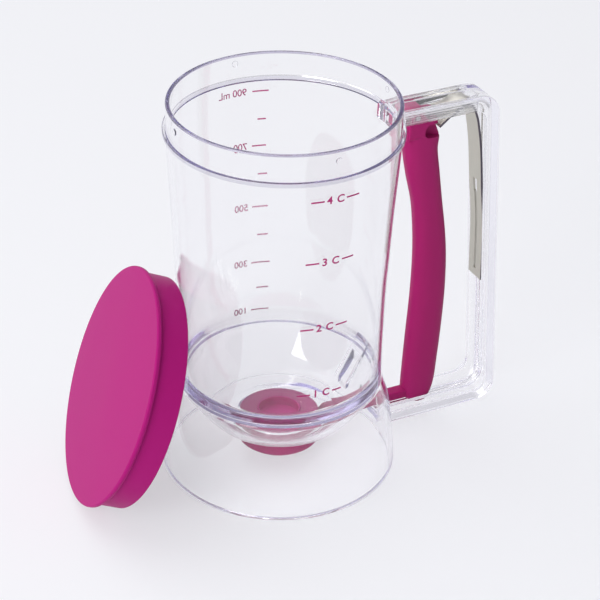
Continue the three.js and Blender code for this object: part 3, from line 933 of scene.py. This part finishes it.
def jar_mesh():
    return combined(
        turned("jar", jar_profile()),
        ("UNION", pocket_housing()),
        ("DIFFERENCE", pocket_hollow()),
        ("DIFFERENCE", foot_slot()),
        ("DIFFERENCE", seat_room()),
        ("UNION", handle_mesh()),
        *[("UNION", lid_stud(k)) for k in range(STUDS)],
    )


FROST_START = tube_radius_at(TOP_ARM_UNDER) + FROST_GAP
FROST_END = bar_inside(HANDLE_TOP)


def frosting(centre):
    """1 on the fluted insides of the top arm's walls."""
    in_arm = FROST_START < centre.x < FROST_END and centre.z > TOP_ARM_UNDER
    inside = HANDLE_WIDTH / 2 - HANDLE_WALL - FROST_MARGIN
    on_wall = inside < abs(centre.y) < HANDLE_WIDTH / 2 - HANDLE_EDGE
    return 1 if in_arm and on_wall else 0


def edge_tint(centre):
    """How much painted violet shade a face gets: rim and foot most, the flange's edge less."""
    radius = centre.xy.length
    on_rim = centre.z > RIM_HEIGHT - NECK_EDGE and radius < FLANGE_RADIUS
    on_foot = centre.z < FOOT_EDGE and radius < FOOT_RADIUS
    on_flange = FLANGE_BOTTOM < centre.z < FLANGE_TOP
    if on_rim or on_foot:
        return RIM_PAINTED_SHADE_SHARE
    if on_flange and FLANGE_RADIUS - FLANGE_EDGE < radius < FLANGE_RADIUS:
        return FLANGE_PAINTED_SHADE_SHARE
    return 0


jar = finished("clear_jar", jar_mesh(), CLEAR, smooth=30)
mark_faces(jar, "frosted", frosting)
# The edge mark puts painted violet shade on the rim, foot and flange edges
mark_faces(jar, "edge", edge_tint)
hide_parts("measuring_tube", "funnel_bowl", "foot_skirt", "handle_frame")
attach(jar, "jar")


# The lever: grip, arm, cup and seal

def grip_line(shares):
    """One side of the grip as (reach, height) points."""
    points = [
        (HINGE_REACH + GRIP_REACH * reach_share, mix(GRIP_BOTTOM, GRIP_TOP, height_share))
        for height_share, reach_share in shares
    ]
    return spline(points, steps=6)


def crowned_grip():
    """The grip as a stack of rounded sections, with crowned sides and closed ends."""
    front, back = grip_line(GRIP_FRONT_SHARES), grip_line(GRIP_BACK_SHARES)
    verts, faces = [], []
    for level in range(GRIP_LEVELS + 1):
        share = 0.5 - 0.5 * math.cos(math.pi * level / GRIP_LEVELS)
        height = mix(GRIP_BOTTOM, GRIP_TOP, share)
        x0, x1 = across_at(front, height), across_at(back, height)
        from_end = min(height - GRIP_BOTTOM, GRIP_TOP - height)
        fullness = math.sqrt(max(0, 1 - (1 - min(from_end / GRIP_ROUND, 1)) ** 2))
        half = GRIP_WIDTH / 2 * mix(GRIP_END_SHARE, 1, fullness)
        for k in range(GRIP_SEGMENTS):
            angle = 2 * math.pi * k / GRIP_SEGMENTS
            c, s = math.cos(angle), math.sin(angle)
            along = math.copysign(abs(c) ** (2 / GRIP_POWER), c)
            across = math.copysign(abs(s) ** (2 / GRIP_POWER), s)
            verts.append(((x0 + x1) / 2 + (x1 - x0) / 2 * along, half * across, height))
    for level in range(GRIP_LEVELS):
        base = level * GRIP_SEGMENTS
        for k in range(GRIP_SEGMENTS):
            j = (k + 1) % GRIP_SEGMENTS
            faces.append([base + k, base + j, base + GRIP_SEGMENTS + j, base + GRIP_SEGMENTS + k])
    faces.append(list(range(GRIP_SEGMENTS)))
    faces.append([GRIP_LEVELS * GRIP_SEGMENTS + k for k in range(GRIP_SEGMENTS)])
    return mesh_of("grip", verts, faces)


def grip_head():
    """The head round the pin, with a crown in front and a step behind."""
    bottom = HINGE_HEIGHT - HEAD_SKIRT
    front = HINGE_REACH - HEAD_FRONT
    back = HINGE_REACH + HEAD_BACK
    return slab("head", rounded([
        (front, bottom, 0),
        (back, bottom, 0),
        (back, DOME_TOP - HEAD_BACK_DROP, HEAD_BACK_CORNER),
        (back - HEAD_STEP_REACH, DOME_TOP - HEAD_STEP_DROP, HEAD_STEP_CORNER),
        (HINGE_REACH + HEAD_CROWN_REACH, DOME_TOP, HEAD_CROWN_CORNER),
        (front, DOME_TOP, HEAD_FRONT_CORNER),
    ], steps=8), GRIP_WIDTH, HEAD_ROUND)


def spring_notch(side):
    """The recess for the spring's tip in one side of the grip, with a web left between the two."""
    end = NOTCH_REACH + NOTCH_LENGTH
    notch = slab("notch", rounded([
        (NOTCH_REACH, NOTCH_BOTTOM + NOTCH_FLARE_BOTTOM, NOTCH_CORNER_BOTTOM),
        (NOTCH_REACH, NOTCH_TOP, NOTCH_CORNER_TOP),
        (end, NOTCH_TOP + NOTCH_FLARE_TOP, 0),
        (end, NOTCH_BOTTOM - NOTCH_FLARE_BOTTOM, 0),
    ], steps=10), GRIP_WIDTH)
    notch.transform(Matrix.Translation((0, side * (GRIP_WIDTH + NOTCH_WEB) / 2, 0)))
    return notch


GRIP_FOOT_FRONT = HINGE_REACH + GRIP_REACH * GRIP_FRONT_SHARES[1][1]
ARM_END = GRIP_FOOT_FRONT + ARM_IN_GRIP
TONGUE_HEIGHT = (CUP_BOTTOM + CUP_FLOOR) / 2


def grip_mesh():
    hole_radius = PIN_RADIUS + CLEARANCE
    hole = cross_pin("hole", HINGE_REACH, HINGE_HEIGHT, hole_radius, GRIP_WIDTH + OVERRUN)
    socket = box_between("socket", GRIP_FOOT_FRONT - OVERRUN, ARM_END + CLEARANCE,
                         ARM_BOTTOM - SOCKET_GAP, ARM_TOP + SOCKET_GAP, ARM_WIDTH + 2 * SOCKET_GAP)
    return combined(
        crowned_grip(),
        ("UNION", grip_head()),
        ("DIFFERENCE", hole),
        ("DIFFERENCE", socket),
        *[("DIFFERENCE", spring_notch(side)) for side in (-1, 1)],
    )


def arm_mesh():
    tongue_end = CUP_RADIUS - TONGUE_LENGTH
    tongue_bottom = TONGUE_HEIGHT - TONGUE_THICKNESS / 2
    tongue_top = TONGUE_HEIGHT + TONGUE_THICKNESS / 2
    taper_start = CUP_RADIUS + ARM_TAPER_GAP
    taper_end = taper_start + ARM_TAPER
    return slab("arm", rounded([
        (tongue_end, tongue_bottom, 0),
        (taper_start, tongue_bottom, ARM_CORNER_BELOW),
        (taper_end, ARM_BOTTOM, ARM_CORNER_BELOW),
        (ARM_END, ARM_BOTTOM, 0),
        (ARM_END, ARM_TOP, 0),
        (taper_end, ARM_TOP, ARM_CORNER_ABOVE),
        (taper_start, tongue_top, ARM_CORNER_ABOVE),
        (tongue_end, tongue_top, 0),
    ]), ARM_WIDTH, ARM_EDGE)


def cup_mesh():
    cup = turned("cup", [
        (0, CUP_BOTTOM),
        *corner(CUP_RADIUS, CUP_BOTTOM, CUP_EDGE, -90, steps=8),
        *corner(CUP_RADIUS, CUP_TOP, CUP_RIM_EDGE, 0, steps=3),
        (CUP_RADIUS - CUP_WALL, CUP_TOP),
        (CUP_RADIUS - CUP_WALL, CUP_FLOOR),
        (0, CUP_FLOOR),
    ], CUP_SEGMENTS)
    half = TONGUE_THICKNESS / 2 + TONGUE_GAP
    socket = box_between("socket", CUP_RADIUS - TONGUE_LENGTH - CLEARANCE, CUP_RADIUS + OVERRUN,
                         TONGUE_HEIGHT - half, TONGUE_HEIGHT + half, ARM_WIDTH + 2 * TONGUE_GAP)
    return combined(cup, ("DIFFERENCE", socket))


def seal_mesh():
    """A plug in the cup, with a disc over the cup's rim and a recess under the outlet."""
    plug = CUP_RADIUS - CUP_WALL - SEAL_GAP
    disc_bottom = CUP_TOP + SEAL_LIFT
    recess_edge = (OUTLET_RADIUS - SEAL_RECESS_GAP, SEAL_TOP - SEAL_RECESS_EDGE, SEAL_RECESS_EDGE)
    return turned("seal", [
        (0, CUP_FLOOR + SEAL_GAP),
        (plug, CUP_FLOOR + SEAL_GAP),
        (plug, disc_bottom),
        *corner(SEAL_RADIUS, disc_bottom, SEAL_LOW_EDGE, -90),
        *corner(SEAL_RADIUS, SEAL_TOP, SEAL_TOP_EDGE, 0),
        *edge_arc(*recess_edge, 90, 180),
        (OUTLET_RADIUS - SEAL_RECESS_SLOPE, SEAL_TOP - SEAL_RECESS),
        (0, SEAL_TOP - SEAL_RECESS),
    ], CUP_SEGMENTS)


for name, mesh, material, node, slot_name in (
    ("squeeze_grip", grip_mesh(), MAGENTA, "trigger_grip", "magenta_plastic"),
    ("cup_arm", arm_mesh(), MAGENTA, "valve_arm", "magenta_plastic"),
    ("outlet_cup", cup_mesh(), MAGENTA, "valve_cup", "magenta_plastic"),
    ("outlet_seal", seal_mesh(), SEAL, "valve_seal", "magenta_seal"),
):
    piece = finished(name, mesh, material)
    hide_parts(node)
    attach(piece, "lever")


# The hinge pin between the walls of the handle

pin_length = HANDLE_WIDTH - 2 * HANDLE_WALL
pin_mesh = cross_pin("pin", HINGE_REACH, HINGE_HEIGHT, PIN_RADIUS, pin_length, PIN_EDGE)
pin = finished("steel_pin", pin_mesh, PIN_STEEL)
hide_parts("hinge_pin")
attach(pin, "jar")


# The soft sleeve in the outlet

sleeve_bottom = SEAT_HEIGHT + SLEEVE_GAP
sleeve = finished("outlet_sleeve", turned("sleeve", [
    (OUTLET_RADIUS, sleeve_bottom),
    (OUTLET_RADIUS, OUTLET_TOP - OUTLET_LIP),
    *edge_arc(OUTLET_RADIUS - SLEEVE_WALL / 2, OUTLET_TOP, SLEEVE_WALL / 2, 0, 180, steps=8),
    (OUTLET_RADIUS - SLEEVE_WALL, sleeve_bottom),
], CUP_SEGMENTS), SEAL)
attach(sleeve, "jar")


# The leaf spring

def spring_point(lowest, reach_share, height_share):
    """A point between the tip's reach and the bar, and between a lowest height and the apex."""
    height = mix(lowest, SPRING_APEX, height_share)
    return mix(SPRING_TIP_REACH, spring_line(height), reach_share), height


def spring_mesh():
    tip = [spring_point(SPRING_TIP_HEIGHT, *shares) for shares in SPRING_TIP_SHARES]
    leg = [spring_point(SPRING_END, *shares) for shares in SPRING_LEG_SHARES]
    path = spline(tip + leg)
    left, right = [], []
    for i, (x, z) in enumerate(path):
        a = Vector(path[max(i - 1, 0)])
        b = Vector(path[min(i + 1, len(path) - 1)])
        along = (b - a).normalized()
        across = Vector((-along.y, along.x)) * (SPRING_THICKNESS / 2)
        left.append((x + across.x, z + across.y))
        right.append((x - across.x, z - across.y))
    strip = slab("strip", left + right[::-1], SPRING_WIDTH, SPRING_EDGE, steps=2)
    reach = (spring_line(SPRING_END) - SPRING_WIDTH, spring_line(SPRING_END) + SPRING_WIDTH)
    head_bottom = SPRING_SLOT_TOP - SPRING_HEAD_LENGTH
    slot = box_between("slot", *reach, SPRING_SLOT_BOTTOM, SPRING_SLOT_TOP, SPRING_SLOT_WIDTH)
    head = box_between("head", *reach, head_bottom, SPRING_SLOT_TOP, SPRING_HEAD_WIDTH)
    return combined(strip, ("DIFFERENCE", slot), ("DIFFERENCE", head))


spring = finished("steel_spring", spring_mesh(), SPRING_STEEL)
# The spring's side strips take the dark steel as painted shade
spring.data.materials.append(SPRING_PAINTED_SHADE_STEEL)
for face in spring.data.polygons:
    if abs(face.center.y - AXIS.y) > (SPRING_WIDTH / 2 - SPRING_PAINTED_SHADE_EDGE) * MM:
        face.material_index = 1
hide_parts("leaf_spring")
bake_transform(spring)


# The lid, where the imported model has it: its face looks along the axis of its slide

def domed_face():
    """The domed top of the lid, from its edge almost to the middle."""
    points = []
    for k in range(1, DOME_STEPS):
        share = k / DOME_STEPS
        points.append((mix(LID_RADIUS - LID_EDGE, 0, share), LID_DOME * (1 - (1 - share) ** 2)))
    return points


def lid_mesh():
    """The lid with the edge of its face at height 0 and its skirt below."""
    skirt_inside = LID_SKIRT_RADIUS - LID_SKIRT_WALL
    return turned("lid", [
        (0, -LID_PLATE),
        (skirt_inside - LID_INNER_FILLET, -LID_PLATE),
        (skirt_inside, -LID_PLATE - LID_INNER_FILLET),
        *corner(skirt_inside, -LID_DEPTH, LID_SKIRT_EDGE, 180),
        *corner(LID_SKIRT_RADIUS, -LID_DEPTH, LID_SKIRT_EDGE, -90),
        (LID_SKIRT_RADIUS, -LID_PLATE - LID_OUTER_FILLET),
        (LID_SKIRT_RADIUS + LID_OUTER_FILLET, -LID_PLATE),
        *corner(LID_RADIUS, -LID_PLATE, LID_EDGE, -90),
        *corner(LID_RADIUS, 0, LID_EDGE, 0, steps=6),
        *domed_face(),
        (0, LID_DOME),
    ], LID_SEGMENTS)


lid_joint = next(j for j in frame["record"]["behaviour"]["joints"] if j["name"] == "lid_lift")
lid_axis = Vector(lid_joint["axis"]).normalized()
lid_peak = max((v.co for v in frame["nodes"]["lid"].data.vertices), key=lambda co: co.dot(lid_axis))
lid_turn = Vector((0, 0, 1)).rotation_difference(lid_axis).to_matrix().to_4x4()
lid_place = Matrix.Translation(lid_peak) @ lid_turn @ Matrix.Scale(MM, 4)
lid_place = lid_place @ Matrix.Translation((0, 0, -LID_DOME))
lid = finished("push_on_lid", lid_mesh(), LID_MAGENTA, moved=lid_place)
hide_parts("lid")
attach(lid, "lid")


# The printed scales

def wrapped(name, flat, azimuth, height):
    """A flat mesh in X and Y laid round the tube: X runs along the wall, Y goes up."""
    for v in flat.vertices:
        z = height + v.co.y
        radius = tube_radius_at(z) + INK_PROUD
        angle = math.radians(azimuth) + v.co.x / radius
        v.co = (radius * math.cos(angle), radius * math.sin(angle), z)
    return finished(name, flat, INK)


def line_mesh(length, thickness):
    verts, faces = [], []
    for k in range(LINE_STEPS + 1):
        x = length * (k / LINE_STEPS - 0.5)
        verts += [(x, -thickness / 2, 0), (x, thickness / 2, 0)]
    for k in range(LINE_STEPS):
        faces.append([2 * k, 2 * k + 2, 2 * k + 3, 2 * k + 1])
    mesh = bpy.data.meshes.new("line")
    mesh.from_pydata(verts, [], faces)
    return mesh


def tick(name, start, end, height, thickness):
    """A printed line between two places round the tube."""
    length = math.radians(end - start) * tube_radius_at(height)
    return wrapped(name, line_mesh(length, thickness), (start + end) / 2, height)


def text_mesh(words, size, spacing, weight):
    curve = bpy.data.curves.new("words", "FONT")
    curve.body = words
    curve.size = size
    curve.align_x = "CENTER"
    curve.align_y = "CENTER"
    curve.space_character = spacing
    curve.offset = weight
    curve.resolution_u = 6
    text = new_object("words", curve)
    graph = bpy.context.evaluated_depsgraph_get()
    mesh = bpy.data.meshes.new_from_object(text.evaluated_get(graph))
    bpy.data.objects.remove(text)
    shaped = bmesh.new()
    shaped.from_mesh(mesh)
    bmesh.ops.triangulate(shaped, faces=shaped.faces)
    shaped.to_mesh(mesh)
    shaped.free()
    return mesh


def print_piece(piece):
    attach(piece, "jar")


for amount, height, start, end in MILLILITRE_LINES:
    print_piece(tick(f"tick_{amount}_ml", start, end, height, MILLILITRE_LINE_WIDTH))
    if amount in LABELLED_AMOUNTS:
        full = amount == FULL_AMOUNT
        label = text_mesh(f"{amount} mL" if full else str(amount), **MILLILITRE_TEXT)
        azimuth = end + (FULL_LABEL_TURN if full else LABEL_TURN)
        print_piece(wrapped(f"label_{amount}_ml", label, azimuth, height))

for amount, height, left_start, left_end, right_start, right_end in CUP_LINES:
    print_piece(tick(f"tick_{amount}_cup_left", left_start, left_end, height, CUP_LINE_WIDTH))
    print_piece(tick(f"tick_{amount}_cup_right", right_start, right_end, height, CUP_LINE_WIDTH))
    label = text_mesh(f"{amount} C", **CUP_TEXT)
    print_piece(wrapped(f"label_{amount}_cup", label, (left_end + right_start) / 2, height))


# The camera looks at the tube's middle and is then panned, tilted and rolled

CAMERA_AIM = Vector((0, 0, 0.1))
CAMERA_ELEVATION = math.radians(30.666)
CAMERA_AZIMUTH = math.radians(-26.5)
CAMERA_DISTANCE = 0.95201
CAMERA_PAN = math.radians(0.5215)
CAMERA_TILT = math.radians(-0.7918)
CAMERA_ROLL = math.radians(1.1021)

camera_data = bpy.data.cameras.new("photo_camera")
camera_data.sensor_width = 36
camera_data.lens = 125.43
camera = new_object("photo_camera", camera_data)
bpy.context.scene.camera = camera
camera_place = Matrix.Translation(AXIS + CAMERA_AIM)
for step in (
    Matrix.Rotation(CAMERA_AZIMUTH, 4, "Z"),
    Matrix.Rotation(math.pi / 2 - CAMERA_ELEVATION, 4, "X"),
    Matrix.Translation((0, 0, CAMERA_DISTANCE)),
    Matrix.Rotation(-CAMERA_PAN, 4, "Y"),
    Matrix.Rotation(CAMERA_TILT, 4, "X"),
    Matrix.Rotation(CAMERA_ROLL, 4, "Z"),
):
    camera_place = camera_place @ step
camera.matrix_world = camera_place


# The floor, in metres, a hair below the foot so that no faces coincide

FLOOR_REACH = 6
FLOOR_LEVEL = -0.00015
FLOOR_COLOUR = (0.905, 0.91, 0.942, 1)
BACKDROP_COLOUR = (0.93, 0.935, 0.968, 1)
BACKDROP_SHARE = 0.55


def floor_plastic():
    """A pale matte floor, which partly glows where the background is seen."""
    material, tree, shader = node_material("floor")
    feed(tree, shader, {"Base Color": FLOOR_COLOUR, "Roughness": 0.9, "Specular IOR Level": 0.1})
    backdrop = add_node(tree, "Emission", {"Color": BACKDROP_COLOUR}).outputs["Emission"]
    portion = calculated(tree, "MULTIPLY", background_rays(tree), BACKDROP_SHARE)
    surface = between_shaders(tree, portion, shader.outputs["BSDF"], backdrop)
    feed(tree, tree.nodes["Material Output"], {"Surface": surface})
    return material


floor_mesh = bpy.data.meshes.new("floor")
corners = [(x * FLOOR_REACH, y * FLOOR_REACH, FLOOR_LEVEL) for x, y in ((-1, -1), (1, -1), (1, 1), (-1, 1))]
floor_mesh.from_pydata(corners, [], [(0, 1, 2, 3)])
floor_mesh.materials.append(floor_plastic())
new_object("floor", floor_mesh)


# A pale sky, brighter on one side, and two soft lights

BRIGHT_SIDE = (-0.8, 0.6, 0)
HORIZON = (0.16, 0.4)
HIGH_SIDES = (-0.3, 0.7)
HIGH_LEVELS = (0.6, 1)
LOW_SIDES = (-0.8, 0.2)
LOW_LEVELS = (0.5, 0.97)
LIGHT_SHARE = 0.7
DIM_SKY = (0.94, 0.93, 1.05)
BRIGHT_SKY = (0.988, 0.988, 1)


def eased(tree, value, sources, targets=(0, 1)):
    """A value eased from one pair of numbers onto another."""
    ends = dict(zip(("From Min", "From Max", "To Min", "To Max"), (*sources, *targets)))
    inputs = {"Value": value, **ends}
    return add_node(tree, "MapRange", inputs, interpolation_type="SMOOTHSTEP").outputs["Result"]


def studio_sky():
    world = bpy.data.worlds.new("studio")
    world.use_nodes = True
    tree = world.node_tree
    direction = add_node(tree, "TexCoord").outputs["Generated"]
    up = add_node(tree, "SeparateXYZ", {"Vector": direction}).outputs["Z"]
    facing = add_node(tree, "VectorMath", {0: direction, 1: BRIGHT_SIDE}, operation="DOT_PRODUCT")
    side = facing.outputs["Value"]
    level = add_node(tree, "Mix", {
        "Factor": eased(tree, up, HORIZON),
        "A": eased(tree, side, LOW_SIDES, LOW_LEVELS),
        "B": eased(tree, side, HIGH_SIDES, HIGH_LEVELS),
    }).outputs["Result"]
    share = ranged(tree, background_rays(tree), LIGHT_SHARE, 1)
    feed(tree, tree.nodes["Background"], {
        "Color": between_colours(tree, level, DIM_SKY, BRIGHT_SKY),
        "Strength": calculated(tree, "MULTIPLY", level, share),
    })
    return world


def softbox(name, place, target, size, power):
    """A square soft light, turned towards a target."""
    light = bpy.data.lights.new(name, "AREA")
    light.shape = "RECTANGLE"
    light.size = size
    light.size_y = size
    light.energy = power
    lamp = new_object(name, light)
    lamp.location = place
    lamp.rotation_euler = (Vector(target) - Vector(place)).to_track_quat("-Z", "Y").to_euler()


softbox("key_light", place=(-0.6, 0.8, 2), target=(0, 0, 0.05), size=2.4, power=18)
softbox("side_light", place=(-1.4, -0.7, 0.9), target=(0, 0, 0.09), size=0.9, power=14)

CLEAR_BOUNCES = 96

scene = bpy.context.scene
scene.world = studio_sky()
scene.view_settings.view_transform = "Standard"
scene.cycles.max_bounces = CLEAR_BOUNCES
scene.cycles.transmission_bounces = CLEAR_BOUNCES
scene.cycles.glossy_bounces = CLEAR_BOUNCES
scene.cycles.transparent_max_bounces = 16
scene.cycles.volume_bounces = 0
